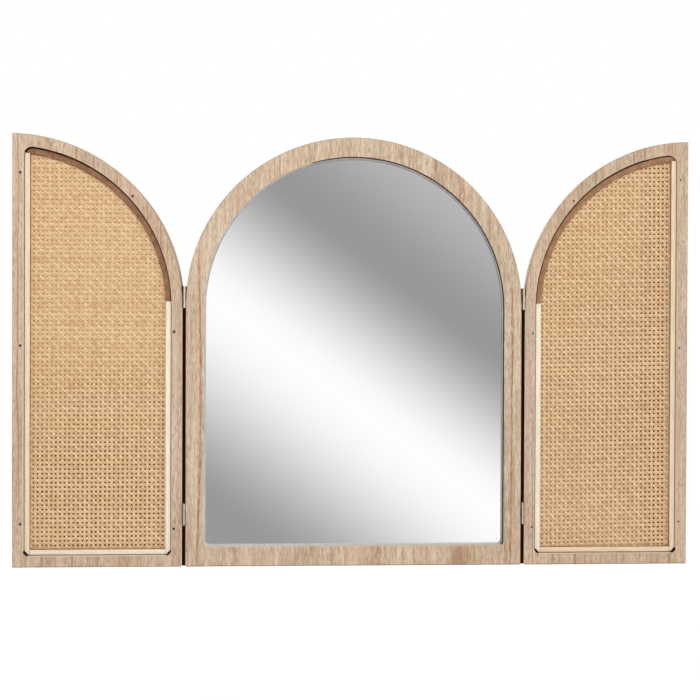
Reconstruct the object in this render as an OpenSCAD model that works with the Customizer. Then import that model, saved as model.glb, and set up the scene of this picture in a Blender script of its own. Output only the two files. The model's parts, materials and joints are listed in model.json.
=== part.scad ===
// Arched window mirror with two cane shutters.
// Width runs along X, height along Z, and the front faces -Y.
// The wall is the plane y = 0, and the origin lies midway between the two hangers.

/* [Mirror frame] */
// Width of the mirror frame
frame_w = 400; // [340:5:480]
// Height from the bottom to where the arch begins
spring_h = 310; // [260:5:400]
// Depth from the wall to the front face
frame_t = 18; // [17:0.5:24]
// Width of the upright sides, seen from the front
stile_w = 22; // [21:0.5:30]
// Width of the arch at its top
arch_w = 24; // [22:0.5:32]
// Height of the bottom rail
sill_h = 24; // [20:0.5:35]
// Wood in front of the glass
lip_t = 8; // [5:0.5:9.5]
// How far the rebate runs back behind the front opening
rebate_w = 7; // [5:0.5:8]
// Radius of the lower corners of the opening
opening_corner_r = 4; // [1:0.5:8]
// Radius of the lower outer corners of the frame and the shutters
foot_r = 1.5; // [0.5:0.5:3]

/* [Glass and backboard] */
// Thickness of the mirror glass
glass_t = 3; // [2:0.5:4]
// Thickness of the backboard
board_t = 3; // [2:0.5:4]
// Air around the glass and the backboard in the rebate
glass_gap = 0.5; // [0.2:0.1:1]

/* [Glazing points] */
// Thickness of one steel point
point_t = 0.8; // [0.5:0.1:1]
// Width of one steel point
point_w = 8; // [5:0.5:12]
// Length of a point driven into the wood
point_in = 5; // [3:0.5:6]
// Length of a point that holds the backboard
point_out = 6; // [3:0.5:10]
// Points on each upright side
side_points = 3; // [2:1:4]
// Points along the bottom rail
sill_points = 3; // [2:1:5]
// Points along the arch
arch_points = 5; // [3:1:8]

/* [Wall hangers] */
// How far the hangers lie below the start of the arch
hanger_drop = 25; // [22:1:60]
// Thickness of a keyhole plate
plate_t = 1.5; // [1:0.1:2.5]
// Width of a keyhole plate
plate_w = 12; // [11:0.5:12.5]
// Radius of the round hole that a screw head enters
entry_r = 4.5; // [3.5:0.1:4.8]
// Half the width of the slot that the screw shank rests in
slot_r = 2.25; // [1.5:0.05:2.8]
// Height of the slot's end above the round hole's centre
slot_rise = 9; // [7:0.5:12]
// Depth of the pocket behind the plate
pocket_d = 6.5; // [4:0.5:8]
// Air around a screw head in the pocket
pocket_air = 0.5; // [0.2:0.1:1]
// Wood between the pocket and a hanger screw's centre line
screw_edge = 3.5; // [2.5:0.5:6]
// Plate past a hanger screw's centre line
plate_end = 4; // [3:0.5:8]
// Length of a hanger screw
hanger_screw_l = 12; // [8:0.5:14]
// Radius of a hanger screw's shank
hanger_screw_r = 1.25; // [0.8:0.05:1.5]
// Radius of a hanger screw's head
hanger_head_r = 2.4; // [1.8:0.1:3]

/* [Shutters] */
// Gap between the mirror frame and an open shutter
hinge_gap = 4; // [3.6:0.1:5]
// Gap between the two shutters when they are closed
meeting_gap = 4; // [2:0.5:10]
// Width of the wood at both sides of a shutter's opening
shutter_stile_w = 12.8; // [12.5:0.1:24]
// Width of the wood at the top of a shutter's arch
shutter_arch_w = 14; // [13:0.5:24]
// Height of the wood below a shutter's opening
shutter_rail_w = 13.4; // [12.5:0.1:24]
// Thickness of the layer with the beads, which faces the mirror when closed
inner_t = 8; // [7:0.5:9]
// Thickness of the layer that the cane rests on
outer_t = 7; // [5:0.5:8]
// Radius of the lower corners of the inner opening
low_corner_r = 7; // [3:0.5:10]
// Radius of the upper corner of the inner opening
top_corner_r = 10; // [7:0.5:14]
// Radius of the corners of the outer opening
ledge_corner_r = 4; // [1:0.5:8]

/* [Cane and beads] */
// Thickness of the woven cane
cane_t = 1.6; // [1:0.1:2]
// Distance from one cane strand to the next
cane_pitch = 5.3; // [4.8:0.1:7]
// Strands that one bar of the net stands for
bar_strands = 4; // [4:1:6]
// Width of the gap between two cane strands
cane_gap = 1.85; // [1:0.05:2.8]
// Distance from the opening's edge to the cut edge of the cane
cane_inset = 2.5; // [1:0.5:4]
// Width of the straight beads
bead_w = 5.7; // [5:0.1:8]
// Height of the straight beads above the cane
bead_h = 4; // [2:0.5:5]
// Air between a straight bead and the wood beside it
bead_gap = 1.2; // [0.2:0.1:1.5]
// Width of the curved bead
arch_bead_w = 6.2; // [5:0.1:8]
// Height of the curved bead above the cane
arch_bead_h = 2.6; // [1.5:0.1:5]
// Air between the curved bead and the wood beside it
arch_bead_gap = 1.4; // [0.3:0.1:1.5]
// Height of the bead on the hinge side above the start of the arch
bead_rise = 4; // [2:0.5:20]
// Air between the ends of two beads
bead_joint = 0.2; // [0.1:0.1:0.5]

/* [Brads] */
// Radius of a brad
brad_r = 0.6; // [0.4:0.05:0.8]
// Depth of a brad's head below the wood
brad_set = 0.8; // [0.3:0.1:2]
// Length of a brad in the outer layer
brad_hold = 4; // [2:0.5:4.5]
// Distance from the shutter's edge to the line of brads
brad_inset = 9.5; // [4:0.5:10]
// Height of the lowest brad on the hinge side
brad_low = 45; // [30:1:47]
// Height of the middle brad on the hinge side, below the start of the arch
brad_mid_drop = 32; // [20:1:80]
// Height of the lowest brad on the straight edge
edge_brad_low = 51; // [30:1:90]
// Height of the middle brad on the straight edge, below the start of the arch
edge_brad_drop = 49; // [20:1:80]
// Height of the uppermost brad above the start of the arch
brad_top_rise = 154; // [100:1:160]
// Angle of the brad on the arch above the horizontal
brad_arch_angle = 42; // [25:1:60]

/* [Hinges] */
// Length of one hinge
hinge_h = 25; // [18:0.5:40]
// Width of a leaf, from the pin's centre line
leaf_w = 10; // [8:0.5:12]
// Thickness of a leaf
leaf_t = 0.9; // [0.6:0.1:1.2]
// Radius of a hinge pin
pin_r = 0.9; // [0.6:0.05:1]
// Running clearance between the pin and its knuckles
pin_fit = 0.05; // [0.02:0.01:0.1]
// Air between a knuckle and the wood's edge plane
knuckle_air = 0.2; // [0.1:0.05:0.3]
// Air between neighbouring knuckles
knuckle_gap = 0.3; // [0.2:0.05:0.6]
// Gap between the mirror frame's front and a closed shutter
close_gap = 1.2; // [1.2:0.1:3]
// Height of the lower hinge's middle
lower_hinge_z = 62; // [50:1:100]
// Height of the upper hinge's middle above the start of the arch
upper_hinge_rise = 9; // [-20:1:12]
// Thickness of the rounded head at each end of a pin
pin_head_t = 0.6; // [0.3:0.1:1.2]
// How far the pin's head stands out past the pin
pin_head_lip = 0.5; // [0.3:0.05:0.6]
// Distance between the two screws of a leaf
hinge_screw_gap = 14; // [10:0.5:16]
// Length of a hinge screw below the leaf
hinge_screw_l = 10; // [6:0.5:11]
// Radius of a hinge screw's shank
hinge_screw_r = 1; // [0.7:0.05:1.2]
// Radius of a hinge screw's head
hinge_head_r = 1.9; // [1.5:0.1:2.2]
// Width of the cross in a screw head
cross_w = 0.5; // [0.3:0.1:0.8]
// Depth of the cross in a screw head
cross_d = 0.4; // [0.2:0.1:0.6]

/* [Hidden] */
$fn = 96;

// How far a cut runs past the face that it opens
cut = 1;

// Radius of the blunt tip of a screw, and the share of a screw head that its cross spans
tip_r = 0.1;
cross_share = 0.6;

// The opening of the mirror: its radius and the height of its arch's centre
arch_r = frame_w / 2;
open_r = arch_r - stile_w;
open_z = spring_h + arch_r - arch_w - open_r;
back_r = open_r + rebate_w;
board_back = -(frame_t - lip_t - glass_t - board_t);

// The hangers: the middle of the wood behind each stile
hanger_x = arch_r - (stile_w - rebate_w) / 2;
hang_z = spring_h - hanger_drop;
pocket_r = entry_r + pocket_air;
low_screw_z = -pocket_r - screw_edge;
high_screw_z = slot_rise + pocket_r + screw_edge;
plate_low = low_screw_z - plate_end;
plate_high = high_screw_z + plate_end;

// The shutters, in their own plane: u is the distance from the edge at the hinges
shutter_w = (frame_w - meeting_gap) / 2;
shutter_u = arch_r + hinge_gap;
layer_y = -(frame_t - inner_t);
shutter_back = layer_y + outer_t;
window_z = spring_h - shutter_arch_w + shutter_stile_w;
bead_span = bead_gap + bead_w;
arch_bead_span = arch_bead_gap + arch_bead_w;
ledge_span = max(bead_span, arch_bead_span);
bead_y = layer_y - cane_t;

// The hinges
axis_x = arch_r + hinge_gap / 2;
axis_y = -(frame_t + close_gap / 2);
knuckle_r = hinge_gap / 2 - knuckle_air;
bore_r = pin_r + pin_fit;
sweep_r = knuckle_r + knuckle_gap;
knuckle_h = (hinge_h - 2 * knuckle_gap) / 3;
outer_knuckles = [[-hinge_h / 2, -hinge_h / 2 + knuckle_h], [hinge_h / 2 - knuckle_h, hinge_h / 2]];
middle_knuckle = [[-knuckle_h / 2, knuckle_h / 2]];
upper_hinge_z = spring_h + upper_hinge_rise;
screw_y = axis_y + (leaf_w + knuckle_r) / 2;

veneer = [0.78, 0.69, 0.59];
cream = [0.9, 0.86, 0.77];
brown = [0.56, 0.4, 0.3];
cane = [0.87, 0.73, 0.56];
brass = [0.72, 0.6, 0.38];
steel = [0.62, 0.62, 0.64];
silver = [0.72, 0.74, 0.76];
hardboard = [0.6, 0.47, 0.34];

// Moves the model from the bottom of the frame to the height of the hangers
module from_hangers() {
    translate([0, 0, -hang_z])
        children();
}

// A flat piece whose outline is drawn in X and Z, from its back face forwards
module board(back_y, depth) {
    translate([0, back_y, 0])
        rotate([90, 0, 0])
            linear_extrude(height = depth)
                children();
}

// Turns a shape drawn for the right-hand side into one for the named side
module on_side(side) {
    mirror([side == "left" ? 1 : 0, 0, 0])
        children();
}

// A bolt-like shape along -Y with its head's face at the origin
module screw_body(shank_l, shank_r, head_r) {
    sink = head_r - shank_r;
    rotate([90, 0, 0]) {
        cylinder(h = sink, r1 = head_r, r2 = shank_r);
        cylinder(h = shank_l - shank_r, r = shank_r);
        translate([0, 0, shank_l - shank_r])
            cylinder(h = shank_r, r1 = shank_r, r2 = tip_r);
    }
}

// A countersunk screw with a cross in its head
module screw(shank_l, shank_r, head_r) {
    arm = 2 * head_r * cross_share;
    difference() {
        screw_body(shank_l, shank_r, head_r);
        translate([-cross_w / 2, -cross_d, -arm / 2])
            cube([cross_w, cross_d + cut, arm]);
        translate([-arm / 2, -cross_d, -cross_w / 2])
            cube([arm, cross_d + cut, cross_w]);
    }
}

// What rounding takes off a square corner at the origin that opens to +X and +Y
module corner_waste(r) {
    difference() {
        translate([-cut, -cut])
            square([r + cut, r + cut]);
        translate([r, r])
            circle(r = r);
    }
}

// The same at the two lower corners of a shape that spans from low_x to high_x
module foot_waste(low_x, high_x, r) {
    translate([low_x, 0])
        corner_waste(r);
    translate([high_x, 0])
        mirror([1, 0])
            corner_waste(r);
}

// Mirror frame

module arched_outline() {
    difference() {
        union() {
            translate([-arch_r, 0])
                square([frame_w, spring_h]);
            translate([0, spring_h])
                circle(r = arch_r);
        }
        foot_waste(-arch_r, arch_r, foot_r);
    }
}

// The opening of the mirror frame, or the rebate behind it, which is wider by grow
module arched_opening(grow) {
    r = open_r + grow;
    translate([-r, sill_h - grow])
        square([2 * r, open_z - sill_h + grow]);
    translate([0, open_z])
        circle(r = r);
}

// The opening in the frame's front, with rounded lower corners
module front_opening() {
    difference() {
        arched_opening(0);
        translate([0, sill_h])
            foot_waste(-open_r, open_r, opening_corner_r);
    }
}

module mirror_frame() {
    color(veneer)
        from_hangers()
            difference() {
                board(0, frame_t)
                    arched_outline();
                board(cut, frame_t + 2 * cut)
                    front_opening();
                board(cut, cut + frame_t - lip_t)
                    arched_opening(rebate_w);
                points();
                for (side = ["left", "right"])
                    on_side(side) {
                        hanger_recess();
                        hanger_screw_places()
                            screw_body(hanger_screw_l, hanger_screw_r, hanger_head_r);
                        frame_screw_places()
                            screw_body(hinge_screw_l + leaf_t, hinge_screw_r, hinge_head_r);
                    }
            }
}

module mirror_glass() {
    color(silver)
        from_hangers()
            board(board_back - board_t, glass_t)
                arched_opening(rebate_w - glass_gap);
}

module backboard() {
    color(hardboard)
        from_hangers()
            board(board_back, board_t)
                arched_opening(rebate_w - glass_gap);
}

// One point along +Z from the inside of the rebate into its wall at the origin
module point() {
    translate([-point_w / 2, board_back, -point_out])
        cube([point_w, point_t, point_out + point_in]);
}

module points() {
    side_step = (spring_h - sill_h) / side_points;
    for (i = [0 : side_points - 1])
        for (turn = [-90, 90])
            translate([back_r * sign(turn), 0, sill_h + (i + 0.5) * side_step])
                rotate([0, turn, 0])
                    point();
    sill_step = 2 * back_r / sill_points;
    for (i = [0 : sill_points - 1])
        translate([-back_r + (i + 0.5) * sill_step, 0, sill_h - rebate_w])
            rotate([0, 180, 0])
                point();
    arch_step = 180 / arch_points;
    for (i = [0 : arch_points - 1])
        translate([0, 0, open_z])
            rotate([0, -90 + (i + 0.5) * arch_step, 0])
                translate([0, 0, back_r])
                    point();
}

module glazing_points() {
    color(steel)
        from_hangers()
            points();
}

// Wall hangers

module hanger_recess() {
    translate([hanger_x, 0, hang_z]) {
        translate([-plate_w / 2, -plate_t, plate_low])
            cube([plate_w, plate_t + cut, plate_high - plate_low]);
        board(0, plate_t + pocket_d)
            keyhole(pocket_r, pocket_r);
    }
}

module keyhole(hole_r, neck_r) {
    circle(r = hole_r);
    translate([-neck_r, 0])
        square([2 * neck_r, slot_rise]);
    translate([0, slot_rise])
        circle(r = neck_r);
}

module hanger_screw_places() {
    for (z = [low_screw_z, high_screw_z])
        translate([hanger_x, 0, hang_z + z])
            children();
}

module keyhole_hanger(side) {
    color(steel)
        from_hangers()
            on_side(side)
                difference() {
                    translate([hanger_x, 0, hang_z])
                        board(0, plate_t)
                            difference() {
                                translate([-plate_w / 2, plate_low])
                                    square([plate_w, plate_high - plate_low]);
                                keyhole(entry_r, slot_r);
                            }
                    hanger_screw_places()
                        screw_body(hanger_screw_l, hanger_screw_r, hanger_head_r);
                }
}

module left_keyhole_hanger() {
    keyhole_hanger("left");
}

module right_keyhole_hanger() {
    keyhole_hanger("right");
}

module hanger_screws() {
    color(steel)
        from_hangers()
            for (side = ["left", "right"])
                on_side(side)
                    hanger_screw_places()
                        screw(hanger_screw_l, hanger_screw_r, hanger_head_r);
}

// Shutters

// Half an arch with sharp corners, drawn in from the shutter's sides by inset
module half_arch(inset, low_z, centre_z) {
    translate([inset, low_z])
        square([shutter_w - 2 * inset, centre_z - low_z]);
    intersection() {
        translate([arch_r, centre_z])
            circle(r = arch_r - inset);
        translate([inset, centre_z - cut])
            square([shutter_w - 2 * inset, arch_r + 2 * cut]);
    }
}

// A shutter's opening with sharp corners, drawn in by gap
module sharp_window(gap) {
    half_arch(shutter_stile_w + gap, shutter_rail_w + gap, window_z);
}

// What rounding takes off the corner of an opening between the arch and the straight edge
module peak_waste(gap, r) {
    inset = shutter_stile_w + gap;
    reach = arch_r - inset - r;
    u = shutter_w - inset - r;
    rise = sqrt(reach * reach - (arch_r - u) * (arch_r - u));
    far = (arch_r - inset + cut) / reach;
    difference() {
        polygon([
            [u, window_z + rise],
            [u + r + cut, window_z + rise],
            [u + r + cut, window_z + arch_r],
            [arch_r - (arch_r - u) * far, window_z + rise * far]
        ]);
        translate([u, window_z + rise])
            circle(r = r);
    }
}

// A shutter's opening with rounded corners, drawn in by gap
module shutter_window(gap, low_r, top_r) {
    inset = shutter_stile_w + gap;
    difference() {
        sharp_window(gap);
        translate([0, shutter_rail_w + gap])
            foot_waste(inset, shutter_w - inset, low_r);
        peak_waste(gap, top_r);
    }
}

// The same with lower corners cut off straight, as the beads and the cane have them
module clipped_window(gap) {
    side = low_corner_r * sqrt(2);
    difference() {
        sharp_window(gap);
        for (u = [shutter_stile_w, shutter_w - shutter_stile_w])
            translate([u, shutter_rail_w])
                rotate(45)
                    square([side, side], center = true);
        peak_waste(gap, top_corner_r - gap);
    }
}

// Puts a shape drawn in a shutter's own plane in its place beside the mirror
module in_shutter(side) {
    from_hangers()
        on_side(side)
            translate([shutter_u, 0, 0])
                children();
}

// One layer of a shutter's frame round an opening
module shutter_ring(gap, low_r, top_r) {
    difference() {
        half_arch(0, 0, spring_h);
        foot_waste(0, shutter_w, foot_r);
        shutter_window(gap, low_r, top_r);
    }
}

module brad_places() {
    edge_u = shutter_w - brad_inset;
    arch_line = arch_r - brad_inset;
    places = [
        [brad_inset, brad_low],
        [brad_inset, spring_h - brad_mid_drop],
        [edge_u, edge_brad_low],
        [edge_u, spring_h - edge_brad_drop],
        [edge_u, spring_h + brad_top_rise],
        [arch_r - arch_line * cos(brad_arch_angle), spring_h + arch_line * sin(brad_arch_angle)]
    ];
    for (p = places)
        translate([p[0], 0, p[1]])
            children();
}

module inner_frame(side) {
    color(veneer)
        in_shutter(side)
            difference() {
                board(layer_y, inner_t)
                    shutter_ring(0, low_corner_r, top_corner_r);
                brad_places()
                    rotate([90, 0, 0])
                        cylinder(h = frame_t + cut, r = brad_r);
                shutter_screw_places()
                    screw_body(hinge_screw_l + leaf_t, hinge_screw_r, hinge_head_r);
            }
}

module outer_frame(side) {
    color(veneer)
        in_shutter(side)
            difference() {
                board(shutter_back, outer_t)
                    shutter_ring(ledge_span, ledge_corner_r, ledge_corner_r);
                brads();
            }
}

module brads() {
    brad_places()
        translate([0, layer_y + brad_hold, 0])
            rotate([90, 0, 0])
                cylinder(h = brad_hold + inner_t - brad_set, r = brad_r);
}

module shutter_brads(side) {
    color(steel)
        in_shutter(side)
            brads();
}

// The woven cane as a flat net, whose bars each stand for several strands
module cane_panel(side) {
    step = cane_pitch * bar_strands;
    hole = cane_gap * bar_strands;
    ledge_w = shutter_stile_w + ledge_span;
    low_z = shutter_rail_w + ledge_span;
    reach = arch_r - ledge_w - hole;
    columns = floor((shutter_w - 2 * ledge_w) / step);
    rows = ceil((window_z + arch_r - ledge_w - low_z) / step);
    first_u = (shutter_w - (columns - 1) * step) / 2;
    first_z = low_z + step / 2;
    color(cane)
        in_shutter(side)
            board(layer_y, cane_t)
                difference() {
                    clipped_window(cane_inset);
                    for (i = [0 : columns - 1])
                        for (j = [0 : rows - 1]) {
                            u = first_u + i * step;
                            z = first_z + j * step;
                            if (z < window_z || norm([arch_r - u, z - window_z]) < reach)
                                translate([u, z])
                                    square(hole, center = true);
                        }
                }
}

// The circle inside the curved bead, less a joint
module inside_arch_bead(joint) {
    translate([arch_r, window_z])
        circle(r = arch_r - shutter_stile_w - arch_bead_span - joint);
}

module edge_bead(side) {
    color(cream)
        in_shutter(side)
            board(bead_y, bead_h)
                intersection() {
                    clipped_window(bead_gap);
                    translate([shutter_w - shutter_stile_w - bead_span, 0])
                        square([bead_w, spring_h + arch_r]);
                    union() {
                        square([shutter_w, window_z]);
                        inside_arch_bead(bead_joint);
                    }
                }
}

module bottom_bead(side) {
    end_u = shutter_stile_w + bead_span + bead_joint;
    color(cream)
        in_shutter(side)
            board(bead_y, bead_h)
                intersection() {
                    clipped_window(bead_gap);
                    translate([end_u, 0])
                        square([shutter_w - 2 * end_u, shutter_rail_w + bead_span]);
                }
}

module hinge_bead(side) {
    color(cream)
        in_shutter(side)
            board(bead_y, bead_h)
                intersection() {
                    clipped_window(bead_gap);
                    square([shutter_stile_w + bead_span, spring_h + bead_rise]);
                }
}

module arch_bead(side) {
    low = spring_h + bead_rise + bead_joint;
    color(brown)
        in_shutter(side)
            board(bead_y, arch_bead_h)
                difference() {
                    clipped_window(arch_bead_gap);
                    inside_arch_bead(0);
                    square([shutter_w, low]);
                }
}

module left_outer_frame() {
    outer_frame("left");
}

module left_inner_frame() {
    inner_frame("left");
}

module left_cane_panel() {
    cane_panel("left");
}

module left_edge_bead() {
    edge_bead("left");
}

module left_bottom_bead() {
    bottom_bead("left");
}

module left_hinge_bead() {
    hinge_bead("left");
}

module left_arch_bead() {
    arch_bead("left");
}

module left_brads() {
    shutter_brads("left");
}

module right_outer_frame() {
    outer_frame("right");
}

module right_inner_frame() {
    inner_frame("right");
}

module right_cane_panel() {
    cane_panel("right");
}

module right_edge_bead() {
    edge_bead("right");
}

module right_bottom_bead() {
    bottom_bead("right");
}

module right_hinge_bead() {
    hinge_bead("right");
}

module right_arch_bead() {
    arch_bead("right");
}

module right_brads() {
    shutter_brads("right");
}

// Hinges

function hinge_height(level) = level == "upper" ? upper_hinge_z : lower_hinge_z;

// A stretch of the hinge's barrel, counted from the middle of the hinge
module barrel(low, high, r) {
    translate([0, 0, low])
        cylinder(h = high - low, r = r);
}

// One leaf, with its plate on the -X side of the pin's centre line
module leaf(own_knuckles, other_knuckles) {
    difference() {
        union() {
            translate([-hinge_gap / 2, 0, -hinge_h / 2])
                cube([leaf_t, leaf_w, hinge_h]);
            for (k = own_knuckles)
                barrel(k[0], k[1], knuckle_r);
        }
        for (k = other_knuckles)
            barrel(k[0] - knuckle_gap, k[1] + knuckle_gap, sweep_r);
        barrel(-hinge_h / 2 - cut, hinge_h / 2 + cut, bore_r);
        leaf_screw_places()
            screw_body(hinge_screw_l + leaf_t, hinge_screw_r, hinge_head_r);
    }
}

// The two screws of a leaf whose plate is on the -X side, with their heads' faces at the plate's
module leaf_screw_places() {
    for (z = [-hinge_screw_gap / 2, hinge_screw_gap / 2])
        translate([-hinge_gap / 2 + leaf_t, screw_y - axis_y, z])
            rotate([0, 0, -90])
                children();
}

// Puts what is drawn round a hinge's middle in its place
module at_hinge(side, level) {
    from_hangers()
        on_side(side)
            translate([axis_x, axis_y, hinge_height(level)])
                children();
}

module frame_leaf(side, level) {
    color(brass)
        at_hinge(side, level)
            leaf(outer_knuckles, middle_knuckle);
}

module shutter_leaf(side, level) {
    color(brass)
        at_hinge(side, level)
            mirror([1, 0, 0])
                leaf(middle_knuckle, outer_knuckles);
}

module hinge_pin(side, level) {
    color(steel)
        at_hinge(side, level) {
            barrel(-hinge_h / 2, hinge_h / 2, pin_r);
            for (turn = [0, 180])
                rotate([turn, 0, 0])
                    translate([0, 0, hinge_h / 2])
                        cylinder(h = pin_head_t, r1 = pin_r + pin_head_lip, r2 = pin_r);
        }
}

// The places of one side's hinge screws in the mirror frame, in the frame's own place
module frame_screw_places() {
    for (level = ["upper", "lower"])
        translate([axis_x, axis_y, hinge_height(level)])
            leaf_screw_places()
                children();
}

// The same in a shutter, in the shutter's own plane
module shutter_screw_places() {
    for (level = ["upper", "lower"])
        translate([-hinge_gap / 2, axis_y, hinge_height(level)])
            mirror([1, 0, 0])
                leaf_screw_places()
                    children();
}

module frame_hinge_screws(side) {
    color(brass)
        from_hangers()
            on_side(side)
                frame_screw_places()
                    screw(hinge_screw_l + leaf_t, hinge_screw_r, hinge_head_r);
}

module shutter_hinge_screws(side) {
    color(brass)
        in_shutter(side)
            shutter_screw_places()
                screw(hinge_screw_l + leaf_t, hinge_screw_r, hinge_head_r);
}

module left_upper_frame_leaf() {
    frame_leaf("left", "upper");
}

module left_upper_shutter_leaf() {
    shutter_leaf("left", "upper");
}

module left_upper_hinge_pin() {
    hinge_pin("left", "upper");
}

module left_lower_frame_leaf() {
    frame_leaf("left", "lower");
}

module left_lower_shutter_leaf() {
    shutter_leaf("left", "lower");
}

module left_lower_hinge_pin() {
    hinge_pin("left", "lower");
}

module right_upper_frame_leaf() {
    frame_leaf("right", "upper");
}

module right_upper_shutter_leaf() {
    shutter_leaf("right", "upper");
}

module right_upper_hinge_pin() {
    hinge_pin("right", "upper");
}

module right_lower_frame_leaf() {
    frame_leaf("right", "lower");
}

module right_lower_shutter_leaf() {
    shutter_leaf("right", "lower");
}

module right_lower_hinge_pin() {
    hinge_pin("right", "lower");
}

module left_frame_hinge_screws() {
    frame_hinge_screws("left");
}

module left_shutter_hinge_screws() {
    shutter_hinge_screws("left");
}

module right_frame_hinge_screws() {
    frame_hinge_screws("right");
}

module right_shutter_hinge_screws() {
    shutter_hinge_screws("right");
}

mirror_frame();
mirror_glass();
backboard();
glazing_points();
left_keyhole_hanger();
right_keyhole_hanger();
hanger_screws();
left_outer_frame();
left_inner_frame();
left_cane_panel();
left_edge_bead();
left_bottom_bead();
left_hinge_bead();
left_arch_bead();
left_brads();
right_outer_frame();
right_inner_frame();
right_cane_panel();
right_edge_bead();
right_bottom_bead();
right_hinge_bead();
right_arch_bead();
right_brads();
left_upper_frame_leaf();
left_upper_shutter_leaf();
left_upper_hinge_pin();
left_lower_frame_leaf();
left_lower_shutter_leaf();
left_lower_hinge_pin();
right_upper_frame_leaf();
right_upper_shutter_leaf();
right_upper_hinge_pin();
right_lower_frame_leaf();
right_lower_shutter_leaf();
right_lower_hinge_pin();
left_frame_hinge_screws();
left_shutter_hinge_screws();
right_frame_hinge_screws();
right_shutter_hinge_screws();
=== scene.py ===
"""Looks of an arched window mirror with two cane shutters. Metres, +Z up, the front faces -Y."""

import json
import math
import random

import bmesh
import bpy
from mathutils import Matrix, Vector

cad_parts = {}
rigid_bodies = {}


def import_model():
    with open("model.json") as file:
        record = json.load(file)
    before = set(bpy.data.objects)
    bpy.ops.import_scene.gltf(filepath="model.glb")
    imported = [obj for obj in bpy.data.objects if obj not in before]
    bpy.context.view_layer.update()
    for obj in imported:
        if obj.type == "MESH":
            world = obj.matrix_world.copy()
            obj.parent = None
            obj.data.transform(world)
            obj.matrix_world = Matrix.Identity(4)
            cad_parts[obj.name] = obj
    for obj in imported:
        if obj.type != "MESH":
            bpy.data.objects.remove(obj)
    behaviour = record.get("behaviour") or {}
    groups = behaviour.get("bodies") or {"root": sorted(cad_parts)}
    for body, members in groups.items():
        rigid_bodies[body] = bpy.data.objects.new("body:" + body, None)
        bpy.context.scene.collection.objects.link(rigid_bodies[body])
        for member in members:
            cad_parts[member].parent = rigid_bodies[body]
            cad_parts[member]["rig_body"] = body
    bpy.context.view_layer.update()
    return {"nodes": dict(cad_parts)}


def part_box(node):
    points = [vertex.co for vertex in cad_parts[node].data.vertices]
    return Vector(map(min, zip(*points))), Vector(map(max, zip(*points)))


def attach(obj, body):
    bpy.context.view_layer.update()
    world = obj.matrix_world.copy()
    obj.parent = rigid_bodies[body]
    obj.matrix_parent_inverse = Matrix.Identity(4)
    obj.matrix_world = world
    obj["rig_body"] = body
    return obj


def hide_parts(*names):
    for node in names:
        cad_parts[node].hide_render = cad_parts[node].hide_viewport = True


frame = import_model()

MM = 0.001
SIDES = ("left", "right")
SIGN = {"left": -1, "right": 1}

# Sizes that the frame gives. Those of the right shutter hold for the left one too, mirrored: it reaches
# from HINGE_X to its meeting edge EDGE_X, and its two layers meet at LAYER_Y.
frame_low, frame_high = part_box("mirror_frame")
glass_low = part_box("mirror_glass")[0]
layer_low, layer_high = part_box("right_inner_frame")
cane_low, cane_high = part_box("right_cane_panel")
ARCH_R = frame_high.x
SPRING_Z = frame_high.z - ARCH_R
FOOT_Z = frame_low.z
FRONT_Y = frame_low.y
BACK_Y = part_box("right_outer_frame")[1].y
HINGE_X = layer_low.x
EDGE_X = layer_high.x
LAYER_Y = layer_high.y
SHUTTER_ARCH_X = HINGE_X + ARCH_R

# The photograph's frame, the camera's focal length and centre in its pixels, and where the camera stands
PHOTO_PX = 700
FOCAL_PX = 1007.4
CENTRE_PX = (380, 355)
SENSOR_MM = 36
CAMERA_AT = Vector((-0.027, -1.2, 0.2608)) + Vector((0, FRONT_Y, FOOT_Z))
CAMERA_YAW = 0.0474
CAMERA_PITCH = -0.0078
CAMERA_ROLL = 0.0040


def make_camera():
    data = bpy.data.cameras.new("camera")
    data.sensor_width = SENSOR_MM
    data.lens = FOCAL_PX / PHOTO_PX * SENSOR_MM
    data.shift_x = (PHOTO_PX / 2 - CENTRE_PX[0]) / PHOTO_PX
    data.shift_y = (CENTRE_PX[1] - PHOTO_PX / 2) / PHOTO_PX
    data.clip_start = 0.05
    data.clip_end = 50
    camera = bpy.data.objects.new("camera", data)
    bpy.context.scene.collection.objects.link(camera)
    bpy.context.scene.camera = camera
    forward = Vector((
        math.sin(CAMERA_YAW) * math.cos(CAMERA_PITCH),
        math.cos(CAMERA_YAW) * math.cos(CAMERA_PITCH),
        math.sin(CAMERA_PITCH),
    ))
    level = Vector((math.cos(CAMERA_YAW), -math.sin(CAMERA_YAW), 0))
    upright = level.cross(forward)
    right = math.cos(CAMERA_ROLL) * level + math.sin(CAMERA_ROLL) * upright
    up = math.cos(CAMERA_ROLL) * upright - math.sin(CAMERA_ROLL) * level
    turn = Matrix((right, up, -forward)).transposed()
    camera.matrix_world = Matrix.Translation(CAMERA_AT) @ turn.to_4x4()


# Materials


def srgb(red, green, blue):
    """A colour of the screen, 0 to 255, as the linear one that the nodes take."""
    def linear(value):
        value /= 255
        return value / 12.92 if value <= 0.04045 else ((value + 0.055) / 1.055) ** 2.4
    return (linear(red), linear(green), linear(blue), 1)


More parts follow.
